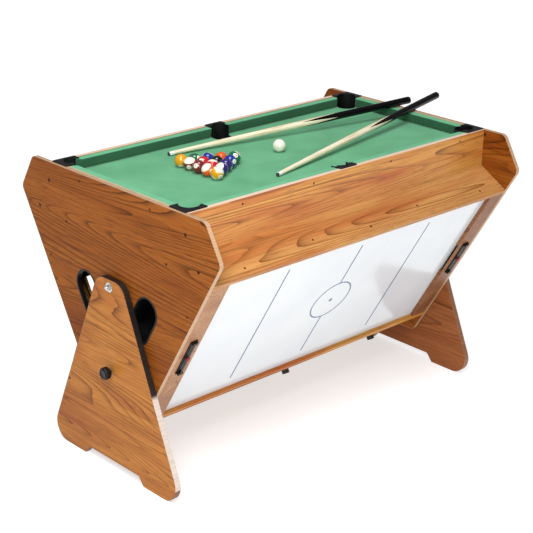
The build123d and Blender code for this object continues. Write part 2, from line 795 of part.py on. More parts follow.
def football_man(x, v):
    """A player: head, shoulders, waist, legs and a foot, clamped round the rod."""
    plane = Plane(
        origin=PIVOT + Vector(x, 0, 0) + across(FOOTBALL) * v
        + out_of(FOOTBALL) * (RIM - ROD_DEPTH),
        x_dir=across(FOOTBALL), z_dir=(1, 0, 0),
    )
    with BuildPart() as man:
        with BuildSketch(plane):
            Polygon(
                (-12, 12), (12, 12), (9, -12), (7, -44), (-7, -44), (-9, -12), align=None
            )
            with Locations((0, 17)):
                Circle(7)
        extrude(amount=MAN_THICK / 2, both=True)
        with BuildSketch(plane):
            with Locations((0, -FOOT_OUT)):
                Rectangle(*FOOT)
        extrude(amount=FOOT_THICK / 2, both=True)
        with BuildSketch(rod_line(x).offset(v)):
            Circle(HUB_R)
        extrude(amount=HUB_LENGTH / 2, both=True)
        with BuildSketch(rod_line(x).offset(v)):
            Circle(ROD_R)
        extrude(amount=HUB_LENGTH / 2, both=True, mode=Mode.SUBTRACT)
    return man.part


def rod_middle(number, side):
    """Where a rod's middle stands across the face; at the start of its travel it is right in."""
    return side * (ROD_PULLED.get(number, 0.0) - ROD_TRAVEL / 2)


def football_rod(number, x, side):
    """Rod with its men and its handle."""
    middle = rod_middle(number, side)
    tail = APRON_OUTER + BEARING_FLANGE_T + ROD_PROUD + ROD_TRAVEL / 2
    grip_start = middle + side * (HANDLE_START + ROD_TRAVEL / 2)
    grip_end = grip_start + side * HANDLE_LENGTH
    low, high = sorted((middle - side * tail, grip_end - side * HANDLE_SOLID))
    with BuildPart() as rod:
        with BuildSketch(rod_line(x).offset(low)):
            Circle(ROD_R)
        extrude(amount=high - low)
    with BuildPart() as handle:
        with BuildSketch(rod_line(x).offset(grip_start)):
            Circle(HANDLE_R)
        extrude(amount=side * HANDLE_LENGTH)
        fillet(handle.edges().filter_by(GeomType.CIRCLE), HANDLE_ROUND)
        with BuildSketch(rod_line(x).offset(grip_start)):
            Circle(ROD_R)
        extrude(amount=side * (HANDLE_LENGTH - HANDLE_SOLID), mode=Mode.SUBTRACT)
    men = [football_man(x, middle + v) for v in MEN_ROWS[abs(x)]]
    return [rod.part, handle.part, *men]


def rod_bumpers(number, x, side):
    """Two rubber bumpers that slide with the rod and stop it at the aprons."""
    middle = rod_middle(number, side)
    reach = APRON_INNER - ROD_TRAVEL / 2 - 1
    rings = []
    for direction in (-1, 1):
        with BuildPart() as ring:
            start = middle + direction * (reach - BUMPER_T)
            with BuildSketch(rod_line(x).offset(start)):
                Circle(BUMPER_R)
                Circle(ROD_R + ROD_CLEAR, mode=Mode.SUBTRACT)
            extrude(amount=direction * BUMPER_T)
        rings.append(ring.part)
    return rings


# ---- Loose pieces --------------------------------------------------------------------
CUE_LENGTH = 900.0
CUE_TAPER = ((0.0, 6.0), (0.3, 9.3), (0.5, 10.5), (1.0, 11.6))     # part of the length, radius
CUE_TIP_R, CUE_ROUND = CUE_TAPER[0][1], 6.0
CUES = {"cue_1": ((-250.0, 197.0), (905.0, -148.0)), "cue_2": ((-146.0, -151.0), (864.0, 169.0))}
CUE_REST_X = POOL_HALF - CUSHION_NOSE            # a cue leans on the end cushion's nose
CUE_CLEAR = 0.4                                  # between a cue and what it rests on
RACK_BASE_X, RACK_MID, CUE_BALL_SPOT = -288.0, 16.0, (26.0, 20.0)
RACK_PITCH = BALL_D + 0.2
RACK_ROWS = 5


def ball(x, v):
    """Pool ball standing on the cloth."""
    with BuildPart() as one:
        with Locations(PIVOT + Vector(x, v, CLOTH_TOP + BALL_D / 2)):
            Sphere(BALL_D / 2)
    return one.part


def rack_spots():
    """Fifteen balls in a triangle whose point is towards the far end."""
    step = RACK_PITCH * sin(radians(60))
    spots = []
    for row in range(RACK_ROWS):
        count = RACK_ROWS - row
        spots += [
            (RACK_BASE_X + row * step, RACK_MID + (i - (count - 1) / 2) * RACK_PITCH)
            for i in range(count)
        ]
    return spots


def cue(tip, heading):
    """Tapered cue with its tip on the cloth, leaning out over the end cushion."""
    flat = Vector(heading[0], heading[1], 0).normalized()
    reach = (CUE_REST_X - tip[0]) / flat.X
    start_height = CLOTH_TOP + CUE_TIP_R + CUE_CLEAR
    rest_height = CUSHION_TOP + CUE_TAPER[-1][1] + CUE_CLEAR
    slope = (rest_height - start_height) / reach
    direction = (flat + Vector(0, 0, slope)).normalized()
    base = Plane(origin=PIVOT + Vector(tip[0], tip[1], start_height), z_dir=direction)
    with BuildPart() as stick:
        for (start, start_r), (stop, stop_r) in zip(CUE_TAPER, CUE_TAPER[1:]):
            with BuildSketch(base.offset(start * CUE_LENGTH)):
                Circle(start_r)
            with BuildSketch(base.offset(stop * CUE_LENGTH)):
                Circle(stop_r)
            loft()
        fillet(stick.faces().sort_by(Axis(base.origin, direction))[-1].edges(), CUE_ROUND)
    return stick.part


# ---- Build and write -----------------------------------------------------------------
def main():
    """Make every piece and write one STEP file for each node."""
    os.makedirs("parts", exist_ok=True)

    bands = []
    for end in ENDS:
        board, band = leg(end)
        save(board, f"leg_{END_NAMES[end]}")
        bands.append(band)
        save(lock_knob(end), f"lock_knob_{END_NAMES[end]}")
    save_group(bands, "leg_edge_bands")
    save_group([shape for end in ENDS for shape in pivot_bolt(end)], "pivot_bolts")
    save_group([shape for end in ENDS for shape in pivot_washers(end)], "pivot_washers")

    bands = []
    for end in ENDS:
        panel, band = end_panel(end)
        save(panel, f"end_panel_{END_NAMES[end]}")
        bands.append(band)
    save_group(bands, "panel_edge_bands")
    screws = [panel_screws(end) for end in ENDS] + [apron_screws(*one) for one in SCREWED_APRONS]
    save_group(screws, "panel_screws")
    save_group([pivot_bushing(end) for end in ENDS], "pivot_bushings")
    save_group([lock_inserts(end) for end in ENDS], "lock_inserts")
    save_group([return_trims(end) for end in ENDS], "return_trims")

    save(apron(POOL, -1), "pool_apron_front")
    save(apron(POOL, 1), "pool_apron_back")
    save(pool_sheet(BED_TOP - POOL_BED, POOL_BED), "pool_bed")
    save(pool_sheet(BED_TOP, CLOTH), "pool_cloth")
    save_group(long_cushion(-1), "cushion_front")
    save_group(long_cushion(1), "cushion_back")
    for end in ENDS:
        save(pool_end(end), f"pool_end_{END_NAMES[end]}")
        save(end_cushion(end), f"cushion_{END_NAMES[end]}")
    save_group([corner_pocket(sx, sv) for sx in ENDS for sv in (-1, 1)], "corner_pockets")
    save_group([side_pocket(-1), side_pocket(1)], "side_pockets")

    save(apron(HOCKEY, 1), "hockey_apron_upper")
    save(apron(HOCKEY, -1), "hockey_apron_lower")
    save(hockey_field(), "hockey_field")
    for end in ENDS:
        save(hockey_end(end), f"hockey_end_{END_NAMES[end]}")
        save(score_rail(end), f"score_rail_{END_NAMES[end]}")
        save(score_marker(end), f"score_marker_{END_NAMES[end]}")
    save_group([score_rod(end) for end in ENDS], "score_rods")
    rink_box = [goal_box(HOCKEY, end, GOAL_FACE + 4, RINK_TOP - RINK, None) for end in ENDS]
    save_group(rink_box, "hockey_goal_boxes")

    save(football_apron(1), "football_apron_lower")
    save(football_apron(-1), "football_apron_upper")
    save(football_field(), "football_field")
    for end in ENDS:
        save(football_end(end), f"football_end_{END_NAMES[end]}")
    mouth = (PITCH_TOP, PITCH_TOP + GOAL_HEIGHT)
    start = GOAL_FACE + END_WALL
    pitch_box = [goal_box(FOOTBALL, end, start, mouth[1] + 4, mouth) for end in ENDS]
    save_group(pitch_box, "football_goal_boxes")
    save_group(rod_bearings(), "rod_bearings")
    for number, x, side in rod_places():
        save_group(football_rod(number, x, side), f"football_rod_{number}")
        save_group(rod_bumpers(number, x, side), f"rod_bumpers_{number}")

    save(ball(*CUE_BALL_SPOT), "cue_ball")
    save_group([ball(x, v) for x, v in rack_spots()], "rack_balls")
    for name, (tip, heading) in CUES.items():
        save(cue(tip, heading), name)


main()
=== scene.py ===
"""Looks of the revolving mini pool table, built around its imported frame.

Metres, in the CAD's own frame.  Each playing face has local axes: along the table,
across the face, and out from the pivot axis.
"""
import math

import bmesh
import bpy
from mathutils import Matrix, Vector


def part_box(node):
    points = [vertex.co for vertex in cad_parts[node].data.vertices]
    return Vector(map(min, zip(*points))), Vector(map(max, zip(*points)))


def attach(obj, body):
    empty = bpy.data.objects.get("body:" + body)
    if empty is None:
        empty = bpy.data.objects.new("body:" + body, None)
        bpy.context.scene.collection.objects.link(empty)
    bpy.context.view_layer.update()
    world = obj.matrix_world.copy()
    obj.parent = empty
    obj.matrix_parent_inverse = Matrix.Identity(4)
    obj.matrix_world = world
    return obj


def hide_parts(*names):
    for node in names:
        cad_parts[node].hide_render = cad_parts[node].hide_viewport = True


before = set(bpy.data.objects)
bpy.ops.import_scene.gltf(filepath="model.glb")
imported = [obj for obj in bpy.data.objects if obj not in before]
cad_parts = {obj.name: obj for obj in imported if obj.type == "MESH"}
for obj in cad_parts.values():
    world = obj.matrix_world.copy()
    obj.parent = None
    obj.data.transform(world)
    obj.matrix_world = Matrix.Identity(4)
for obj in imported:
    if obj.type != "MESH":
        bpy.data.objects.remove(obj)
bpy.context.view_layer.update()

MM = 0.001
TAU = 2 * math.pi


# ---- The frame's own measures ----------------------------------------------------------
def middle(node):
    """Centre of a CAD node's box."""
    low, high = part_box(node)
    return (low + high) / 2


def span(node, axis):
    """Size of a CAD node's box along one axis."""
    low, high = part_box(node)
    return high[axis] - low[axis]


PIVOT = middle("pivot_bolts")
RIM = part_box("pool_apron_front")[1].z - PIVOT.z
INNER = span("pool_apron_front", 0) / 2
RINK_DEPTH, PITCH_DEPTH, ROD_DEPTH = 12 * MM, 95 * MM, 40 * MM
RINK_TOP, PITCH_TOP, ROD_OUT = RIM - RINK_DEPTH, RIM - PITCH_DEPTH, RIM - ROD_DEPTH
PAINT = 0.25 * MM                      # thickness of a painted line
TURNS = {"pool": 0.0, "hockey": 120.0, "football": -120.0}


def face(name):
    """Matrix from a face's (along, across, out) to the row frame."""
    turn = math.radians(TURNS[name])
    return Matrix.Translation(PIVOT) @ Matrix.Rotation(turn, 4, "X")


def on(name, along, across, out):
    """Matrix that puts a piece's origin at a point of a face, with the face's axes."""
    return face(name) @ Matrix.Translation((along, across, out))


# ---- Node materials ----------------------------------------------------------------------
def srgb(red, green, blue):
    """Linear colour from display values of 0 to 255."""
    def linear(value):
        value /= 255
        return value / 12.92 if value <= 0.04045 else ((value + 0.055) / 1.055) ** 2.4
    return (linear(red), linear(green), linear(blue), 1.0)


class Shader:
    """A node material with its Principled shader, and short ways to add nodes."""

    def __init__(self, name):
        self.material = bpy.data.materials.new(name)
        self.material.use_nodes = True
        self.tree = self.material.node_tree
        self.tree.nodes.clear()
        output = self.tree.nodes.new("ShaderNodeOutputMaterial")
        self.bsdf = self.tree.nodes.new("ShaderNodeBsdfPrincipled")
        self.tree.links.new(self.bsdf.outputs[0], output.inputs["Surface"])

    def set(self, node, sockets):
        """Give a node's inputs a value or a link each."""
        for key, value in sockets.items():
            socket = node.inputs[int(key[1:]) if key[0] == "_" else key.replace("_", " ")]
            if isinstance(value, bpy.types.NodeSocket):
                self.tree.links.new(value, socket)
            else:
                socket.default_value = value

    def add(self, kind, props=None, **sockets):
        """Add a node and return its first output."""
        node = self.tree.nodes.new("ShaderNode" + kind)
        for key, value in (props or {}).items():
            setattr(node, key, value)
        self.set(node, sockets)
        return node.outputs[0]

    def coordinates(self, kind="Object"):
        """Object coordinates, or another output of the coordinate node."""
        return self.tree.nodes.new("ShaderNodeTexCoord").outputs[kind]

    def axes(self, vector):
        """X, Y and Z of a vector."""
        node = self.tree.nodes.new("ShaderNodeSeparateXYZ")
        self.tree.links.new(vector, node.inputs[0])
        return node.outputs[0], node.outputs[1], node.outputs[2]

    def place(self, scale=(1, 1, 1), turn=(0, 0, 0)):
        """Object coordinates, turned and scaled."""
        rotated = self.add("Mapping", Vector=self.coordinates(), Rotation=turn)
        return self.add("Mapping", Vector=rotated, Scale=scale)

    def noise(self, vector, scale, detail=4.0, roughness=0.55, distortion=0.0):
        """Noise value at a vector."""
        return self.add(
            "TexNoise", Vector=vector, Scale=scale, Detail=detail, Roughness=roughness,
            Distortion=distortion,
        )

    def math(self, operation, first, second=0.0, third=0.0):
        """One arithmetic step."""
        return self.add("Math", {"operation": operation}, _0=first, _1=second, _2=third)

    def ramp(self, value, *stops):
        """Colour ramp from (position, colour) stops."""
        node = self.tree.nodes.new("ShaderNodeValToRGB")
        elements = node.color_ramp.elements
        while len(elements) < len(stops):
            elements.new(0.5)
        for element, (position, colour) in zip(elements, stops):
            element.position = position
            element.color = colour
        self.tree.links.new(value, node.inputs[0])
        return node.outputs[0]

    def grey(self, value, low, high, low_out=0.0, high_out=1.0):
        """Value stretched from one range to another, and held inside it."""
        return self.add(
            "MapRange", Value=value, From_Min=low, From_Max=high, To_Min=low_out, To_Max=high_out
        )

    def mix(self, factor, first, second):
        """Mix of two colours."""
        node = self.tree.nodes.new("ShaderNodeMix")
        node.data_type = "RGBA"
        self.set(node, {"_0": factor, "_6": first, "_7": second})
        return node.outputs[2]

    def facing_up(self):
        """Upward part of the piece's own surface normal."""
        return self.axes(self.coordinates("Normal"))[2]

    def bump(self, height, strength, distance):
        """Bump that feeds the Principled shader's normal."""
        normal = self.add("Bump", Height=height, Strength=strength, Distance=distance)
        self.set(self.bsdf, {"Normal": normal})

    def finish(self, **sockets):
        """Last inputs; returns the material."""
        self.set(self.bsdf, sockets)
        return self.material


def wood(name, colours, grain_turn=(0, 0, 0), shift=0.0, gloss=0.30, shine=0.16, edged=False):
    """Printed wood-grain laminate whose grain runs along X after grain_turn.

    colours are its light, middle and dark tones; an edged board is banded pale on its top edge.
    """
    light, mid, dark = colours
    s = Shader(name)
    base = s.place(turn=grain_turn)
    moved = s.add("VectorMath", {"operation": "ADD"}, _0=base, _1=(shift, shift * 1.7, shift * 0.6))

    def stretched(along, across):
        return s.add("Mapping", Vector=moved, Scale=(along, across, across))

    tone = s.noise(stretched(0.9, 7.0), 1.0, 3.0, 0.55, 0.4)
    field = s.noise(stretched(0.34, 4.4), 1.0, 1.0, 0.35, 0.35)
    wobble = s.noise(stretched(3.0, 46.0), 1.0, 2.0, 0.5)
    rings = s.math("FRACT", s.math("MULTIPLY_ADD", field, 58.0, s.math("MULTIPLY", wobble, 0.45)))
    late = s.math("POWER", s.grey(rings, 0.25, 0.97), 3.0)
    show = s.grey(s.noise(stretched(1.2, 13.0), 1.0, 2.0), 0.36, 0.62, 0.15, 1.0)
    fine = s.noise(stretched(3.4, 210.0), 1.0, 4.0, 0.7)
    dashes = s.grey(s.noise(stretched(18.0, 560.0), 1.0, 1.0), 0.60, 0.70)
    base_colour = s.ramp(tone, (0.34, mid), (0.52, light), (0.66, mid))
    ringed = s.mix(s.math("MULTIPLY", late, s.math("MULTIPLY", show, 0.85)), base_colour, dark)
    streaked = s.mix(s.grey(fine, 0.50, 0.72, 0.0, 0.62), ringed, dark)
    colour = s.mix(s.math("MULTIPLY", dashes, 0.45), streaked, dark)
    if edged:
        top = s.grey(s.facing_up(), 0.80, 0.90)
        colour = s.mix(top, colour, s.ramp(fine, (0.3, EDGE_LOW), (0.7, EDGE_HIGH)))
    rough = s.grey(fine, 0.3, 0.7, gloss, gloss + 0.12)
    s.bump(s.math("ADD", fine, dashes), 0.05, 0.0004)
    return s.finish(Base_Color=colour, Roughness=rough, Specular_IOR_Level=shine)


def banding(name, low, high, shade_above=None, brown_below=None):
    """Plastic edge band with faint streaks.

    The legs' band carries painted shade: it is near black above one height, where the end panel
    shades it, and darker brown all over the far leg. It is brown below another height.
    """
    s = Shader(name)
    place = s.place()
    grain = s.noise(s.add("Mapping", Vector=place, Scale=(4, 60, 60)), 3.0, 4.0)

    def streaks(dull, bright):
        return s.ramp(grain, (0.3, dull), (0.7, bright))

    colour = streaks(low, high)
    rough = s.grey(grain, 0.3, 0.7, 0.36, 0.46)
    if shade_above is not None:
        x, _, z = s.axes(place)
        height = s.math("MULTIPLY_ADD", grain, 0.004, z)
        # painted shade: the leg edge turns near black above this height, where the end panel shades
        # it
        black = s.grey(height, shade_above, shade_above + 0.012)
        foot = s.grey(height, brown_below, brown_below + 0.004, 1.0, 0.0)
        # painted shade: the far leg's band (positive x) is painted darker brown, as if it stood in
        # shade
        far = s.grey(x, -0.001, 0.001)
        for where, tones in ((black, SHADE_BAND), (foot, FOOT_BAND), (far, SHADED_LEG_BAND)):
            colour = s.mix(where, colour, streaks(*tones))
    s.bump(grain, 0.05, 0.0003)
    return s.finish(Base_Color=colour, Roughness=rough)


def baize(name, low, high, painted_side_shade=0.0):
    """Woven nap cloth: fibres, soft mottling and sheen; faces that do not look up can take painted
    shade.
    """
    s = Shader(name)
    mottling = s.noise(s.place(), 9.0, 3.0, 0.5, 0.3)
    fibres = s.noise(s.place((900, 2600, 1800)), 1.0, 3.0, 0.7)
    lint = s.noise(s.place((420, 380, 400)), 1.0, 4.0, 0.75, 1.2)
    shade = s.math("ADD", s.math("MULTIPLY", mottling, 0.45), s.math("MULTIPLY", fibres, 0.55))
    colour = s.ramp(shade, (0.34, low), (0.62, high))
    flecked = s.mix(s.grey(lint, 0.62, 0.75, 0.0, 0.25), colour, srgb(170, 214, 186))
    # painted shade: faces that do not look up are darkened towards deep green, as under the cushion
    # nose
    side = s.grey(s.facing_up(), 0.25, 0.85, painted_side_shade, 0.0)
    flecked = s.mix(side, flecked, srgb(14, 56, 32))
    s.bump(s.math("ADD", fibres, lint), 0.35, 0.0006)
    return s.finish(
        Base_Color=flecked, Roughness=0.92, Sheen_Weight=0.35, Sheen_Roughness=0.5,
        Sheen_Tint=srgb(200, 240, 215), Specular_IOR_Level=0.2,
    )


def plastic(name, colour, roughness=0.36, texture=0.06, spread=0.06, shine=0.35):
    """Moulded plastic with a fine spark-eroded texture and uneven gloss."""
    s = Shader(name)
    cells = s.noise(s.place(), 1400.0, 2.0, 0.6)
    cloud = s.noise(s.place(), 14.0, 3.0)
    paler = tuple(min(1.0, c * 1.25 + 0.006) for c in colour[:3]) + (1.0,)
    tinted = s.ramp(cloud, (0.3, colour), (0.75, paler))
    s.bump(cells, texture, 0.0004)
    rough = s.grey(cloud, 0.3, 0.7, roughness, roughness + spread)
    return s.finish(Base_Color=tinted, Roughness=rough, Specular_IOR_Level=shine)


def metal(name, colour, roughness=0.25, brush=(1, 1, 1)):
    """Plated or polished metal with fine directional marks."""
    s = Shader(name)
    marks = s.noise(s.place(brush), 260.0, 3.0, 0.6)
    cloud = s.noise(s.place(), 30.0, 2.0)
    tone = s.ramp(cloud, (0.3, tuple(c * 0.86 for c in colour[:3]) + (1.0,)), (0.7, colour))
    s.bump(marks, 0.05, 0.0002)
    rough = s.grey(marks, 0.3, 0.7, roughness, roughness + 0.12)
    return s.finish(Base_Color=tone, Metallic=1.0, Roughness=rough)


def painted_board(name, colour, other, roughness=0.16):
    """Lacquered board: almost even, with faint cloudiness and orange-peel gloss."""
    s = Shader(name)
    cloud = s.noise(s.place(), 5.0, 3.0)
    peel = s.noise(s.place(), 260.0, 2.0)
    scuff = s.noise(s.place((30, 220, 220)), 1.0, 4.0, 0.7, 0.6)
    tone = s.ramp(cloud, (0.35, other), (0.65, colour))
    s.bump(peel, 0.03, 0.0003)
    rough = s.grey(scuff, 0.55, 0.75, roughness, roughness + 0.16)
    return s.finish(Base_Color=tone, Roughness=rough, Coat_Weight=0.3, Coat_Roughness=0.08)


# The leg band is painted near black above the first height as painted shade from the end panel;
# below the second height it is brown.
LEG_SHADE_ABOVE, LEG_BROWN_BELOW = 0.285, 0.044
SHADE_BAND = srgb(20, 15, 13), srgb(30, 22, 18)
FOOT_BAND = srgb(92, 50, 24), srgb(120, 72, 38)
# painted shade: darker band tones for the far leg, as if it stood in shade
SHADED_LEG_BAND = srgb(124, 80, 52), srgb(144, 98, 66)
EDGE_LOW, EDGE_HIGH = srgb(222, 190, 166), srgb(238, 212, 192)
PANEL_TONES = srgb(154, 88, 30), srgb(132, 68, 20), srgb(58, 24, 6)
LEG_TONES = srgb(192, 126, 56), srgb(164, 94, 40), srgb(86, 40, 12)
# painted shade: darker wood tones for the far leg, as if it stood in shade; both legs are of one
# wood
SHADED_LEG_TONES = srgb(152, 92, 52), srgb(130, 70, 38), srgb(72, 34, 16)
APRON_TONES = srgb(212, 152, 74), srgb(180, 98, 44), srgb(98, 44, 16)
RAIL_TONES = srgb(196, 144, 84), srgb(174, 106, 56), srgb(106, 56, 24)
BOARD_TONES = srgb(176, 132, 96), srgb(158, 110, 78), srgb(112, 72, 46)
# painted shade: darker tones for the far rink end board, as if it stood in shade
SHADED_BOARD_TONES = srgb(150, 104, 72), srgb(132, 84, 56), srgb(92, 54, 34)
RAW_TONES = srgb(188, 150, 108), srgb(176, 136, 96), srgb(140, 104, 70)
END_TONES = srgb(196, 178, 146), srgb(184, 166, 134), srgb(150, 130, 100)
GRAIN_Y = (0, 0, math.radians(90))

MATS = {
    "panel": wood("laminate_panel", PANEL_TONES, GRAIN_Y, 0.0, shine=0.06),
    "leg_near": wood("laminate_leg", LEG_TONES, GRAIN_Y, 3.1, shine=0.10),
    # painted shade: the far leg takes darker tones than the near one, as if in shade
    "leg_far": wood("laminate_leg_far_painted_shade", SHADED_LEG_TONES, GRAIN_Y, 4.3, shine=0.06),
    "apron": wood("laminate_apron", APRON_TONES, shift=1.3),
    "apron_edged": wood("laminate_apron_edged", APRON_TONES, shift=1.3, shine=0.4, edged=True),
    "apron_upper": wood("laminate_rail", RAIL_TONES, shift=7.7),
    "rink_end_near": wood("laminate_rink_end", BOARD_TONES, GRAIN_Y, 5.2),
    # painted shade: the far rink end takes darker tones than the near one, as if in shade
    "rink_end_far": wood("laminate_rink_end_far_painted_shade", SHADED_BOARD_TONES, GRAIN_Y, 5.2),
    "inside": wood("raw_board", RAW_TONES, gloss=0.6),
    "panel_band": banding("panel_banding", srgb(170, 134, 100), srgb(190, 156, 124)),
    "leg_band": banding("leg_banding", srgb(188, 172, 160), srgb(208, 196, 186), LEG_SHADE_ABOVE,
                        LEG_BROWN_BELOW),
    "rail_back": wood("end_board", END_TONES, GRAIN_Y, 2.0, 0.5),
    "baize": baize("baize_cloth", srgb(76, 148, 106), srgb(104, 176, 132)),
    # painted shade: the cushion faces below the nose are painted darker
    "cushion": baize("cushion_cloth", srgb(78, 156, 112), srgb(106, 184, 140), 0.78),
    "black": plastic("black_plastic", srgb(12, 12, 13), 0.34, shine=0.22),
    "knob": plastic("black_knob", srgb(10, 10, 11), 0.30, 0.10, shine=0.22),
    "grip": plastic("black_grip", srgb(24, 24, 26), 0.5, 0.2),
    "rubber": plastic("black_rubber", srgb(30, 30, 30), 0.7, 0.2),
    "red": plastic("red_plastic", srgb(190, 26, 28), 0.22, 0.03),
    "blue": plastic("blue_plastic", srgb(28, 62, 160), 0.25, 0.03),
    "skin": plastic("figure_head", srgb(214, 168, 132), 0.35, 0.03),
    "steel": metal("zinc_steel", srgb(206, 206, 204), 0.22),
    "chrome": metal("polished_rod", srgb(226, 228, 230), 0.10, (40, 1, 1)),
    "black_oxide": metal("black_oxide_thread", srgb(70, 68, 66), 0.35),
    "dark_steel": metal("dark_screw", srgb(58, 42, 32), 0.40),
    "brown_sleeve": metal("brown_sleeve", srgb(128, 84, 50), 0.45),
    "score_rod": metal("grey_rod", srgb(96, 92, 92), 0.35, (40, 1, 1)),
    "marker": plastic("marker_plastic", srgb(130, 22, 36), 0.30, 0.03),
    "rink": painted_board("rink_lacquer", srgb(216, 219, 222), srgb(210, 214, 218), 0.14),
    "rink_line": painted_board("rink_line_paint", srgb(88, 110, 142), srgb(80, 102, 134), 0.2),
    "pitch": painted_board("pitch_lacquer", srgb(58, 140, 62), srgb(50, 128, 56), 0.25),
    "pitch_line": painted_board("pitch_line_paint", srgb(240, 244, 240), srgb(228, 234, 228), 0.25),
}


# ---- Mesh building -----------------------------------------------------------------------
def linked(name, data):
    """A new object in the scene."""
    piece = bpy.data.objects.new(name, data)
    bpy.context.scene.collection.objects.link(piece)
    return piece


def make(name, mesh, material, body, place=None, replaces=(), smooth=40):
    """Turn a mesh into a piece that rides on a body."""
    if place is not None:
        mesh.transform(place)
    if smooth:
        mesh.shade_smooth()
        mesh.set_sharp_from_angle(angle=math.radians(smooth))
    piece = linked(name, mesh)
    for one in material if isinstance(material, (list, tuple)) else [material]:
        mesh.materials.append(one)
    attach(piece, body)
    if replaces:
        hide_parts(*replaces)
    return piece


def to_mesh(bm, name):
    """Finish a bmesh as mesh data with outward normals."""
    bmesh.ops.recalc_face_normals(bm, faces=bm.faces)
    mesh = bpy.data.meshes.new(name)
    bm.to_mesh(mesh)
    bm.free()
    return mesh


def lathe(profile, segments=48):
    """Closed solid of revolution about Z from (radius, height) points, axis to axis."""
    bm = bmesh.new()
    rings = []
    for radius, height in profile:
        if radius < 1e-7:
            rings.append([bm.verts.new((0, 0, height))])
        else:
            rings.append([
                bm.verts.new((radius * math.cos(TAU * i / segments),
                              radius * math.sin(TAU * i / segments), height))
                for i in range(segments)
            ])
    for low, high in zip(rings, rings[1:]):
        for i in range(segments):
            j = (i + 1) % segments
            corners = (low[i % len(low)], low[j % len(low)], high[j % len(high)],
                       high[i % len(high)])
            unique = list(dict.fromkeys(corners))
            if len(unique) > 2:
                bm.faces.new(unique)
    return bm


def loft(rings):
    """Closed skin through rings of equal point counts, capped at both ends."""
    bm = bmesh.new()
    loops = [[bm.verts.new(point) for point in ring] for ring in rings]
    count = len(loops[0])
    for low, high in zip(loops, loops[1:]):
        for i in range(count):
            j = (i + 1) % count
            bm.faces.new((low[i], low[j], high[j], high[i]))
    bm.faces.new(loops[0][::-1])
    bm.faces.new(loops[-1])
    return bm


def slab(points, low, high):
    """Prism over a flat outline, from one height to another."""
    return loft([[(x, y, low) for x, y in points], [(x, y, high) for x, y in points]])


def ring_band(radius, width, low, high, segments=96):
    """Flat ring of a given width."""
    bm = bmesh.new()
    rows = []
    for i in range(segments):
        c, s = math.cos(TAU * i / segments), math.sin(TAU * i / segments)
        rows.append([
            bm.verts.new((r * c, r * s, z))
            for r, z in ((radius - width / 2, low), (radius + width / 2, low),
                         (radius + width / 2, high), (radius - width / 2, high))
        ])
    for one, two in zip(rows, rows[1:] + rows[:1]):
        for k in range(4):
            m = (k + 1) % 4
            bm.faces.new((one[k], one[m], two[m], two[k]))
    return bm


def bar(x0, x1, y0, y1, z0, z1):
    """Rectangular bar between two corners."""
    return slab([(x0, y0), (x1, y0), (x1, y1), (x0, y1)], z0, z1)


def absorb(whole, part):
    """Add a bmesh to another one, and free it."""
    scratch = bpy.data.meshes.new("part")
    part.to_mesh(scratch)
    part.free()
    whole.from_mesh(scratch)
    bpy.data.meshes.remove(scratch)


def joined(parts, name):
    """Several bmeshes as one mesh.

    Each part's faces take that part's material index, or keep their own if it is None.
    """
    whole = bmesh.new()
    for index, part in parts:
        for one in part.faces:
            one.material_index = one.material_index if index is None else index
        absorb(whole, part)
    return to_mesh(whole, name)


def moved(bm, matrix):
    """The bmesh, moved by a matrix."""
    bm.transform(matrix)
    return bm


def evaluated(piece, name):
    """The piece's mesh with its modifiers applied."""
    graph = bpy.context.evaluated_depsgraph_get()
    mesh = bpy.data.meshes.new_from_object(piece.evaluated_get(graph))
    mesh.name = name
    return mesh


def welded(node):
    """A CAD node's shape with its doubled points merged."""
    bm = bmesh.new()
    bm.from_mesh(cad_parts[node].data)
    bmesh.ops.remove_doubles(bm, verts=bm.verts, dist=1e-5)
    return bm


def softened(node, body, material, width, segments=2):
    """A CAD node's own shape with its sharp edges rounded, in place of the node."""
    bm = welded(node)
    bmesh.ops.dissolve_limit(bm, angle_limit=math.radians(0.6), verts=bm.verts, edges=bm.edges)
    mesh = to_mesh(bm, node + "_soft")
    scratch = linked("scratch", mesh)
    bevel = scratch.modifiers.new("bevel", "BEVEL")
    bevel.width = width
    bevel.segments = segments
    bevel.limit_method = "ANGLE"
    bevel.angle_limit = math.radians(40)
    bevel.use_clamp_overlap = True
    normals = scratch.modifiers.new("normals", "WEIGHTED_NORMAL")
    normals.keep_sharp = True
    mesh.shade_smooth()
    result = evaluated(scratch, node + "_shape")
    bpy.data.objects.remove(scratch)
    result.materials.clear()
    return make(node + "_skin", result, material, body, replaces=[node], smooth=0)


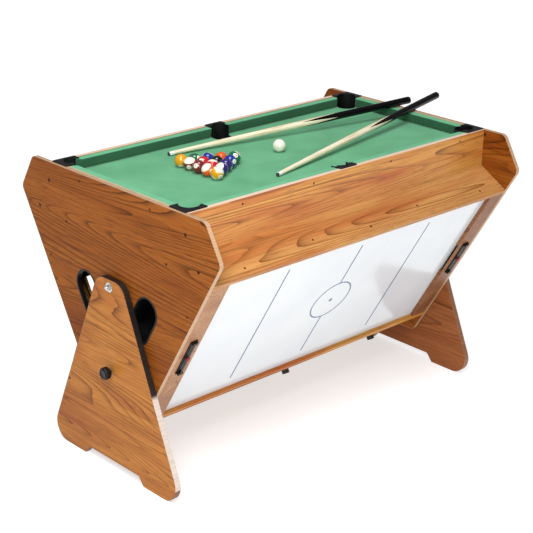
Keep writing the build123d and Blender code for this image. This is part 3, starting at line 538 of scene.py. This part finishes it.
# ---- Boards, legs and panels ---------------------------------------------------------------
def dress_boards():
    """Laminated boards with slightly eased edges, and the plain fittings."""
    for end in ("near", "far"):
        # the far leg and the far rink end take painted-shade tones, darker than the near ones
        softened(f"leg_{end}", "stand", MATS[f"leg_{end}"], 0.4 * MM)
        softened(f"end_panel_{end}", "rotor", MATS["panel"], 0.3 * MM)
        softened(f"pool_end_{end}", "rotor", MATS["rail_back"], 0.5 * MM)
        softened(f"hockey_end_{end}", "rotor", MATS[f"rink_end_{end}"], 0.8 * MM)
        softened(f"football_end_{end}", "rotor", MATS["apron"], 0.8 * MM)
    for side in ("front", "back"):
        softened(f"pool_apron_{side}", "rotor", MATS["apron_edged"], 0.8 * MM)
    for game in ("hockey", "football"):
        softened(f"{game}_apron_upper", "rotor", MATS["apron_upper"], 0.8 * MM)
        softened(f"{game}_apron_lower", "rotor", MATS["apron"], 0.8 * MM)
    plain = {
        "leg_edge_bands": "leg_band", "panel_edge_bands": "panel_band", "pool_bed": "inside",
        "panel_screws": "dark_steel", "lock_inserts": "brown_sleeve", "pivot_bushings": "steel",
        "pivot_washers": "steel", "hockey_goal_boxes": "black", "football_goal_boxes": "black",
        "hockey_field": "rink", "football_field": "pitch", "score_rods": "score_rod",
        "rod_bearings": "black",
    }
    for node, key in plain.items():
        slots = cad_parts[node].data.materials
        slots.clear()
        slots.append(MATS[key])
    softened("return_trims", "rotor", MATS["black"], 0.5 * MM)


# ---- Pool face -------------------------------------------------------------------------------
def dress_pool():
    """Cloth, cushions and pockets."""
    cloth_mesh = to_mesh(welded("pool_cloth"), "pool_cloth_sheet")
    cloth_mesh.materials.clear()
    cloth = make("pool_cloth_sheet", cloth_mesh, MATS["baize"], "rotor",
                 replaces=["pool_cloth"], smooth=0)
    for side in ("front", "back", "near", "far"):
        softened(f"cushion_{side}", "rotor", MATS["cushion"], 2.2 * MM, 3)
    softened("corner_pockets", "rotor", MATS["black"], 0.7 * MM)
    softened("side_pockets", "rotor", MATS["black"], 0.7 * MM)


BALL_R = span("cue_ball", 2) / 2
BALL_COLOURS = {
    1: srgb(236, 164, 16), 2: srgb(20, 46, 146), 3: srgb(200, 26, 30), 4: srgb(44, 30, 110),
    5: srgb(236, 92, 20), 6: srgb(16, 104, 66), 7: srgb(120, 26, 34), 8: srgb(16, 16, 18),
}
RACK_ROWS = ((9, 13, 7, 15, 1), (12, 11, 3, 6), (4, 8, 10), (2, 5), (14,))
IVORY = srgb(246, 242, 228)


def ball_material(number):
    """Polished resin: plain, striped or, for number 0, the white cue ball."""
    s = Shader(f"ball_{number}")
    spot = s.coordinates()
    x, _, z = s.axes(spot)
    cloud = s.noise(spot, 90.0, 3.0)
    ivory = s.ramp(cloud, (0.3, srgb(240, 234, 216)), (0.7, IVORY))
    if number:
        paint = BALL_COLOURS[number if number < 9 else number - 8]
        deep = tuple(c * 0.9 for c in paint[:3]) + (1.0,)
        paint = s.ramp(cloud, (0.3, deep), (0.7, paint))
        if number > 8:
            edge = 0.52 * BALL_R
            stripe = s.grey(s.math("ABSOLUTE", z), edge, edge * 1.03, 1.0, 0.0)
            paint = s.mix(stripe, ivory, paint)
        radial = s.math("SQRT", s.math("ADD", s.math("MULTIPLY", x, x), s.math("MULTIPLY", z, z)))
        disc = s.grey(radial, 0.36 * BALL_R, 0.375 * BALL_R, 1.0, 0.0)
        colour = s.mix(disc, paint, ivory)
    else:
        colour = ivory
    scuff = s.noise(spot, 400.0, 4.0, 0.7)
    rough = s.grey(scuff, 0.5, 0.8, 0.05, 0.16)
    return s.finish(Base_Color=colour, Roughness=rough, Coat_Weight=0.6, Coat_Roughness=0.03)


def number_mesh(text, size):
    """Flat filled number, centred, as mesh data."""
    curve = bpy.data.curves.new("digits", "FONT")
    curve.body = text
    curve.size = size
    curve.align_x = "CENTER"
    curve.align_y = "CENTER"
    curve.resolution_u = 4
    holder = linked("digits", curve)
    bpy.context.view_layer.update()
    mesh = evaluated(holder, "digits")
    bpy.data.objects.remove(holder)
    return mesh


def ball_numbers(number, radius):
    """The ball's number, wrapped on both poles of its Y axis."""
    bm = bmesh.new()
    for turn in (0, math.pi):
        flat = number_mesh(str(number), radius * 0.46)
        part = bmesh.new()
        part.from_mesh(flat)
        bpy.data.meshes.remove(flat)
        bmesh.ops.triangulate(part, faces=part.faces)
        bmesh.ops.subdivide_edges(part, edges=part.edges, cuts=1, use_grid_fill=True)
        for vert in part.verts:
            x, z = vert.co.x, vert.co.y
            depth = math.sqrt(max(0.0, radius * radius - x * x - z * z))
            vert.co = Matrix.Rotation(turn, 3, "Z") @ Vector((x, -depth, z))
        absorb(bm, part)
    mesh = bpy.data.meshes.new("numbers")
    bm.to_mesh(mesh)
    bm.free()
    return mesh


def one_ball(name, number, centre, turns, body, material):
    """A ball with its own turn, so that no two sit alike."""
    bm = bmesh.new()
    bmesh.ops.create_uvsphere(bm, u_segments=48, v_segments=28, radius=BALL_R)
    piece = make(name, to_mesh(bm, name), material, body, smooth=180)
    spin = Matrix.Rotation(turns[2], 4, "Z") @ Matrix.Rotation(turns[1], 4, "Y")
    spin = spin @ Matrix.Rotation(turns[0], 4, "X")
    piece.matrix_world = Matrix.Translation(centre) @ spin
    if number:
        digits = make(name + "_number", ball_numbers(number, BALL_R * 1.002), MATS["rubber"], body)
        digits.matrix_world = piece.matrix_world
    return piece


def dress_balls():
    """Cue ball, and fifteen balls racked with their numbers turned every way."""
    cue_ball = one_ball("cue_ball_resin", 0, middle("cue_ball"), (0, 0, 0), "cue_ball",
                        ball_material(0))
    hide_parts("cue_ball")
    low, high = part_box("rack_balls")
    step_x = (high.x - low.x - 2 * BALL_R) / 4
    step_y = (high.y - low.y - 2 * BALL_R) / 4
    centre_y = (low.y + high.y) / 2
    for row, numbers in enumerate(RACK_ROWS):
        for k, number in enumerate(numbers):
            offset = k - (len(numbers) - 1) / 2
            centre = Vector((low.x + BALL_R + row * step_x, centre_y + offset * step_y,
                             low.z + BALL_R))
            seed = number * 1.7
            turns = (0.9 * math.sin(seed), 0.7 * math.cos(seed * 1.3),
                     -0.75 + 1.1 * math.sin(seed * 2.1))
            piece = one_ball(f"ball_{number}", number, centre, turns, "rack_balls",
                             ball_material(number))
            if number == 14:
                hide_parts("rack_balls")


# ---- Cues ------------------------------------------------------------------------------------
CUE_LENGTH = 0.9
CUE_TAPER = ((0.0, 6.0 * MM), (0.3, 9.3 * MM), (0.5, 10.5 * MM), (1.0, 11.6 * MM))
BLACK_FROM, POINT_DEPTH = 0.605, 0.27


def cue_shaft_material():
    """Pale varnished maple that meets a black butt in four long points."""
    s = Shader("cue_maple")
    x, y, z = s.axes(s.coordinates())
    grain = s.noise(s.place((260, 260, 9)), 1.0, 4.0, 0.6)
    maple = s.ramp(grain, (0.32, srgb(214, 194, 152)), (0.5, srgb(242, 230, 200)),
                   (0.7, srgb(248, 240, 216)))
    angle = s.math("ARCTAN2", y, x)
    wave = s.math("PINGPONG", s.math("ADD", s.math("MULTIPLY", angle, 4 / TAU), 8.0), 0.5)
    edge = s.math("MULTIPLY_ADD", wave, -POINT_DEPTH, BLACK_FROM)
    black = s.grey(s.math("SUBTRACT", z, edge), -0.001, 0.001)
    tone = s.mix(black, maple, srgb(6, 5, 6))
    s.bump(grain, 0.04, 0.0003)
    rough = s.grey(grain, 0.3, 0.7, 0.08, 0.14)
    shine = s.grey(black, 0.0, 1.0, 0.45, 0.22)
    return s.finish(Base_Color=tone, Roughness=rough, Specular_IOR_Level=shine)


def cue_axis(node):
    """Tip centre and direction of a CAD cue, from the points at its two ends."""
    points = [v.co.copy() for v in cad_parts[node].data.vertices]
    direction = Vector((1, 0, 0))

    def centre(end, depth):
        chosen = [p for p in points if abs(direction.dot(p) - end) < depth]
        low = Vector(min(p[i] for p in chosen) for i in range(3))
        high = Vector(max(p[i] for p in chosen) for i in range(3))
        return (low + high) / 2

    for depth in (14 * MM, 1 * MM, 1 * MM):
        along = [direction.dot(p) for p in points]
        tip, butt = centre(min(along), depth), centre(max(along), depth)
        direction = (butt - tip).normalized()
    return tip, direction


def cue_radius(part):
    """Radius at a part of the cue's length."""
    for (start, start_r), (stop, stop_r) in zip(CUE_TAPER, CUE_TAPER[1:]):
        if part <= stop:
            return start_r + (stop_r - start_r) * (part - start) / (stop - start)
    return CUE_TAPER[-1][1]


def dress_cues():
    """Two-tone cues with tip, ferrule and rubber butt cap."""
    shaft = cue_shaft_material()
    ferrule = plastic("cue_ferrule", srgb(240, 238, 230), 0.25, 0.03)
    tip_leather = plastic("cue_tip_leather", srgb(58, 60, 58), 0.85, 0.3)
    tip_end, ferrule_end, cap_start = 4 * MM, 20 * MM, CUE_LENGTH - 9 * MM
    for node in ("cue_1", "cue_2"):
        start, direction = cue_axis(node)
        place = Matrix.Translation(start) @ direction.to_track_quat("Z", "Y").to_matrix().to_4x4()
        steps = [ferrule_end + (cap_start - ferrule_end) * i / 48 for i in range(49)]
        wood_side = [(cue_radius(z / CUE_LENGTH), z) for z in steps]
        wood_part = lathe([(0, ferrule_end), *wood_side, (0, cap_start)], 40)
        r, wide = cue_radius(0), cue_radius(ferrule_end / CUE_LENGTH)
        tip = lathe([(0, 0.0), (r * 0.5, 0.2 * MM), (r * 0.86, 1.4 * MM), (r * 0.98, tip_end),
                     (0, tip_end)], 32)
        collar = lathe([(0, tip_end), (r * 0.99, tip_end), (wide, ferrule_end),
                        (0, ferrule_end)], 32)
        r = cue_radius(1)
        cap = lathe([(0, cap_start), (r * 0.985, cap_start), (r * 0.98, CUE_LENGTH - 5 * MM),
                     (r * 0.88, CUE_LENGTH - 2.4 * MM), (r * 0.66, CUE_LENGTH - 0.8 * MM),
                     (r * 0.36, CUE_LENGTH - 0.3 * MM), (0, CUE_LENGTH - 0.2 * MM)], 40)
        mesh = joined([(0, wood_part), (1, tip), (2, collar), (3, cap)], node)
        piece = make(node + "_stick", mesh, [shaft, tip_leather, ferrule, MATS["rubber"]], node,
                     replaces=[node])
        piece.matrix_world = place


# ---- Hockey face ---------------------------------------------------------------------------
def dress_rink():
    """Painted lines, scorers and markers."""
    low, high = RINK_TOP, RINK_TOP + PAINT
    line, circle, reach, quarter = 5 * MM, 73 * MM, 234 * MM, 285 * MM
    parts = [(0, bar(x - line / 2, x + line / 2, -reach, reach, low, high))
             for x in (-quarter, quarter)]
    for side in (-1, 1):
        ends = sorted((side * (circle + 2 * MM), side * reach))
        parts.append((0, bar(-line / 2, line / 2, *ends, low, high)))
    parts.append((0, ring_band(circle, line, low, high)))
    parts.append((0, lathe([(0, low), (7 * MM, low), (7 * MM, high), (0, high)])))
    make("rink_lines", joined(parts, "rink_lines"), MATS["rink_line"], "rotor", face("hockey"))
    for end in ("near", "far"):
        softened(f"score_rail_{end}", "rotor", MATS["black"], 0.6 * MM)
        softened(f"score_marker_{end}", f"score_marker_{end}", MATS["marker"], 0.8 * MM)


# ---- Football face -------------------------------------------------------------------------
RODS = (          # number, place along the table in mm, side of the handle
    (1, -450, -1), (2, -255, 1), (3, -60, -1), (4, 60, 1), (5, 255, -1), (6, 450, 1),
)
MEN = {450: (0,), 255: (-100, 100), 60: (-150, 0, 150)}     # places of the men on each rod, in mm
HALF_TRAVEL = 40 * MM
PULLED = {4: 14 * MM, 6: 14 * MM}      # these rods stand pulled out a little
ROD_R, ROD_TAIL = 6.5 * MM, 378 * MM
GRIP_START, GRIP_END, GRIP_RIBS, RIB_STEP = 297 * MM, 397 * MM, 11, 7.6 * MM


CHIN, WAIST, ANKLE = 12.4, -10, -36    # heights on a man, in mm from his rod


def figure(team_index):
    """A player hanging below the rod: rounded sections from the head down to the foot."""
    sections = (                       # height, half width across, half depth, squareness
        (24.0, 1.5, 1.5, 2.0), (23.0, 4.6, 4.6, 2.0), (20.5, 6.4, 6.4, 2.0), (17.0, 6.9, 6.9, 2.0),
        (13.8, 5.2, 5.2, 2.0), (12.2, 3.9, 3.9, 2.0), (11.0, 8.0, 4.6, 2.6), (9.4, 11.2, 5.6, 3.0),
        (4.0, 11.8, 7.6, 3.0), (-4.0, 11.2, 8.6, 3.0), (-9.0, 9.4, 7.4, 3.2),
        (-14.0, 8.6, 5.6, 3.4),
        (-24.0, 8.2, 5.2, 3.6), (-36.0, 7.2, 5.0, 3.8), (-41.0, 7.0, 6.4, 4.0),
        (-43.0, 7.6, 8.6, 4.5), (-50.0, 7.9, 8.8, 5.0), (-50.8, 7.2, 8.0, 5.0),
    )
    count = 28
    rings = []
    for height, wide, deep, power in sections:
        ring = []
        for i in range(count):
            c, s = math.cos(TAU * i / count), math.sin(TAU * i / count)
            ring.append((
                deep * MM * math.copysign(abs(c) ** (2 / power), c),
                wide * MM * math.copysign(abs(s) ** (2 / power), s), height * MM,
            ))
        rings.append(ring)
    bm = loft(rings)
    for one in bm.faces:
        height = one.calc_center_median().z / MM
        if height > CHIN:
            one.material_index = 2
        elif height > WAIST:
            one.material_index = team_index
        elif height > ANKLE:
            one.material_index = 3
        else:
            one.material_index = 4
    return bm


def football_rod(number, x, side):
    """Polished rod with players, ribbed grip and end cap."""
    middle_v = -side * HALF_TRAVEL
    along_rod = Matrix.Rotation(math.radians(-90 * side), 4, "X")
    rod_end = GRIP_END - 8 * MM
    rod = lathe([(0, -ROD_TAIL), (6.1 * MM, -ROD_TAIL), (ROD_R, -ROD_TAIL + 0.5 * MM),
                 (ROD_R, rod_end), (0, rod_end)], 40)
    grip = [(0, GRIP_START), (6.6 * MM, GRIP_START), (10.5 * MM, GRIP_START),
            (11.8 * MM, GRIP_START + 2 * MM)]
    for k in range(GRIP_RIBS):
        base = GRIP_START + 6 * MM + RIB_STEP * k
        grip += [(11.9 * MM, base), (10.6 * MM, base + 1.2 * MM), (10.6 * MM, base + 2.6 * MM),
                 (11.9 * MM, base + 3.8 * MM)]
    grip += [(11.9 * MM, GRIP_END - 3 * MM), (10.4 * MM, GRIP_END - 0.6 * MM), (0, GRIP_END)]
    cap_end = -ROD_TAIL + 2.6 * MM
    cap = lathe([(0, -ROD_TAIL - 0.2 * MM), (6.3 * MM, -ROD_TAIL - 0.2 * MM),
                 (6.9 * MM, -ROD_TAIL + 1 * MM), (6.9 * MM, cap_end), (0, cap_end)], 32)
    parts = [(5, moved(rod, along_rod)), (6, moved(lathe(grip, 40), along_rod)),
             (6, moved(cap, along_rod))]
    team = 0 if side > 0 else 1
    for v in MEN[abs(x)]:
        spot = Matrix.Translation((0, middle_v + v * MM, 0))
        parts.append((None, moved(figure(team), spot)))
        screw = lathe([(0, 0), (2.6 * MM, 0), (2.2 * MM, 0.9 * MM), (0, 1.1 * MM)], 20)
        turned = Matrix.Rotation(math.radians(90), 4, "Y")
        parts.append((5, moved(screw, spot @ Matrix.Translation((8.4 * MM, 0, 0)) @ turned)))
    mesh = joined(parts, f"football_rod_{number}")
    mats = [MATS["red"], MATS["blue"], MATS["skin"], MATS["pitch_line"], MATS["rubber"],
            MATS["chrome"], MATS["grip"]]
    make(f"football_rod_{number}_set", mesh, mats, f"rod_{number}",
         on("football", x * MM, side * PULLED.get(number, 0.0), ROD_OUT),
         replaces=[f"football_rod_{number}"])


def dress_pitch():
    """Painted pitch lines, rods with players, and bumpers."""
    low, high = PITCH_TOP, PITCH_TOP + PAINT
    line, circle = 4 * MM, 80 * MM
    half_x, half_y = 505 * MM, 255 * MM
    box_x, box_y = 120 * MM, 150 * MM
    parts = []
    for side in (-1, 1):
        edge = side * half_y
        parts.append((0, bar(-half_x, half_x, edge - line / 2, edge + line / 2, low, high)))
        edge = side * half_x
        reach = half_y + line / 2
        parts.append((0, bar(edge - line / 2, edge + line / 2, -reach, reach, low, high)))
        inner = side * (half_x - box_x)
        parts.append((0, bar(inner - line / 2, inner + line / 2, -box_y, box_y, low, high)))
        for v in (-box_y, box_y):
            ends = sorted((inner, side * (half_x - line / 2)))
            parts.append((0, bar(*ends, v - line / 2, v + line / 2, low, high)))
    parts.append((0, bar(-line / 2, line / 2, -half_y, half_y, low, high)))
    parts.append((0, ring_band(circle, line, low, high)))
    make("pitch_lines", joined(parts, "pitch_lines"), MATS["pitch_line"], "rotor", face("football"))
    for number, x, side in RODS:
        football_rod(number, x, side)
        softened(f"rod_bumpers_{number}", f"rod_slide_{number}", MATS["rubber"], 1.2 * MM)


# ---- Stand fittings --------------------------------------------------------------------------
KNOB_HEAD, KNOB_NECK, THREAD_PITCH = 20 * MM, 5 * MM, 1.25 * MM


def knob_shape(end):
    """Lobed locking knob with a collar and a threaded shank."""
    low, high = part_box(f"lock_knob_{end}")
    length = high.x - low.x
    count, lobes = 144, 24
    head, neck_start = length - KNOB_HEAD, length - KNOB_HEAD - KNOB_NECK

    def fluted(i, radius, depth):
        return (radius - depth * (1 - math.cos(lobes * TAU * i / count)) / 2) * MM

    rings = []
    for height, radius, depth in (
        (head, 15.4, 0.0), (head + 1.2 * MM, 17.2, 0.5),
        (head + 3 * MM, 17.9, 0.8), (length - 7 * MM, 17.9, 0.8),
        (length - 3 * MM, 17.0, 0.6), (length - 1 * MM, 15.0, 0.3), (length, 12.5, 0.0),
        (length - 0.8 * MM, 11.0, 0.0), (length - 0.8 * MM, 1.0, 0.0),
    ):
        rings.append([
            (fluted(i, radius, depth) * math.cos(TAU * i / count),
             fluted(i, radius, depth) * math.sin(TAU * i / count), height)
            for i in range(count)
        ])
    head_bm = loft(rings)
    neck = lathe([(0, neck_start), (10.2 * MM, neck_start), (11 * MM, neck_start + 1 * MM),
                  (11 * MM, head), (0, head)])
    thread = [(0, 0.0), (2.2 * MM, 0.0)]
    for k in range(int(neck_start / THREAD_PITCH) - 1):
        z = 1 * MM + THREAD_PITCH * k
        thread += [(2.45 * MM, z), (2.95 * MM, z + THREAD_PITCH / 2)]
    thread += [(2.45 * MM, neck_start), (0, neck_start)]
    shank = lathe(thread, 32)
    side = 1 if end == "far" else -1
    start = low.x if side > 0 else high.x
    place = Matrix.Translation((start, 0, (low.z + high.z) / 2))
    place = place @ Matrix.Rotation(math.radians(90 * side), 4, "Y")
    mesh = joined([(0, head_bm), (0, neck), (1, shank)], f"lock_knob_{end}")
    make(f"lock_knob_{end}_moulded", mesh, [MATS["knob"], MATS["black_oxide"]], f"lock_knob_{end}",
         place, replaces=[f"lock_knob_{end}"], smooth=35)


def hexagon(radius):
    """Corner points of a hexagon."""
    return [(radius * math.cos(TAU * i / 6), radius * math.sin(TAU * i / 6)) for i in range(6)]


BOLT_R, NUT_R, BOLT_HEAD_R = 5 * MM, 9 * MM, 9 * MM
NUT_STEPS = ((0.92, 1.5 * MM), (1.0, 2.3 * MM), (1.0, 8.5 * MM), (0.88, 9.5 * MM))    # size, height


def pivot_set():
    """Pivot bolts: chamfered nuts, thread ends and round heads."""
    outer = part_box("pivot_bolts")[1].x - PIVOT.x
    leg_face = outer - 13 * MM
    inside = INNER - 8 * MM
    parts = []
    for side in (-1, 1):
        nut = loft([[(size * x, size * y, leg_face + height) for x, y in hexagon(NUT_R)]
                    for size, height in NUT_STEPS])
        stub = lathe([(0, leg_face - 18 * MM), (BOLT_R, leg_face - 18 * MM),
                      (BOLT_R, outer - 1.2 * MM), (4.2 * MM, outer), (0, outer)])
        bolt_head = lathe([(0, inside), (8.2 * MM, inside), (BOLT_HEAD_R, inside + 1 * MM),
                           (BOLT_HEAD_R, inside + 6 * MM), (0, inside + 6 * MM)])
        shank = lathe([(0, inside + 5 * MM), (BOLT_R, inside + 5 * MM),
                       (BOLT_R, leg_face - 17 * MM), (0, leg_face - 17 * MM)])
        turn = Matrix.Rotation(math.radians(90 * side), 4, "Y")
        parts += [(0, moved(bm, turn)) for bm in (nut, stub, bolt_head, shank)]
    make("pivot_bolt_set", joined(parts, "pivot_bolt_set"), MATS["steel"], "stand",
         Matrix.Translation(PIVOT), replaces=["pivot_bolts"], smooth=30)


def dress_stand():
    """Locking knobs and pivot hardware."""
    for end in ("near", "far"):
        knob_shape(end)
    pivot_set()


# ---- Floor, light and camera ---------------------------------------------------------------
VIEW_AZIMUTH, VIEW_ELEVATION, VIEW_ROLL = 43.70, 21.50, 0.99
VIEW_FROM = Vector((-2.7515, -2.8413, 1.4573))
LENS = 95.6
WHITE = (1.0, 1.0, 1.0, 1.0)
SKY_STRENGTH = 0.22
FLOOR_HALF, FLOOR_GLOW = 60.0, 0.58


def area_light(name, place, target, size, energy):
    """Square soft light aimed at a point."""
    data = bpy.data.lights.new(name, "AREA")
    data.shape = "SQUARE"
    data.size = size
    data.energy = energy
    light = linked(name, data)
    light.location = place
    light.rotation_euler = (Vector(target) - Vector(place)).to_track_quat("-Z", "Y").to_euler()


def sun_light(name, towards, strength, spread):
    """Very soft light from one side of the sky."""
    data = bpy.data.lights.new(name, "SUN")
    data.energy = strength
    data.angle = math.radians(spread)
    light = linked(name, data)
    light.rotation_euler = Vector(towards).to_track_quat("Z", "Y").to_euler()


def dress_stage():
    """Plain pale floor and soft studio light."""
    mesh = bpy.data.meshes.new("floor")
    mesh.from_pydata([(x * FLOOR_HALF, y * FLOOR_HALF, 0) for x, y in
                      ((-1, -1), (1, -1), (1, 1), (-1, 1))], [], [(0, 1, 2, 3)])
    floor = linked("floor", mesh)
    s = Shader("studio_floor")
    haze = s.noise(s.place(), 0.6, 2.0)
    tone = s.ramp(haze, (0.3, srgb(204, 204, 204)), (0.7, srgb(208, 208, 208)))
    mesh.materials.append(s.finish(
        Base_Color=tone, Roughness=0.75, Emission_Color=WHITE, Emission_Strength=FLOOR_GLOW,
    ))

    world = bpy.data.worlds.new("studio")
    bpy.context.scene.world = world
    world.use_nodes = True
    background = world.node_tree.nodes["Background"]
    background.inputs["Color"].default_value = WHITE
    background.inputs["Strength"].default_value = SKY_STRENGTH
    sun_light("overhead", (-0.10, -0.10, 1.0), 1.75, 32)
    area_light("key", (-2.0, -1.4, 2.5), (-0.5, 0, 0.7), 1.2, 55)
    area_light("low_front", (-1.1, -2.1, 0.9), (-0.6, -0.3, 0.75), 1.2, 15)


def set_camera():
    """Camera where the reference view stands."""
    azimuth, elevation = math.radians(VIEW_AZIMUTH), math.radians(VIEW_ELEVATION)
    forward = Vector((math.sin(azimuth) * math.cos(elevation),
                      math.cos(azimuth) * math.cos(elevation), -math.sin(elevation)))
    level = forward.cross(Vector((0, 0, 1))).normalized()
    upright = level.cross(forward)
    roll = math.radians(VIEW_ROLL)
    right = level * math.cos(roll) + upright * math.sin(roll)
    up = right.cross(forward)
    basis = Matrix((right, up, -forward)).transposed().to_4x4()
    data = bpy.data.cameras.new("camera")
    data.sensor_width = 36.0
    data.lens = LENS
    camera = linked("camera", data)
    camera.matrix_world = Matrix.Translation(PIVOT + VIEW_FROM) @ basis
    bpy.context.scene.camera = camera


dress_boards()
dress_pool()
dress_balls()
dress_cues()
dress_rink()
dress_pitch()
dress_stand()
dress_stage()
set_camera()
bpy.context.scene.view_settings.view_transform = "Standard"
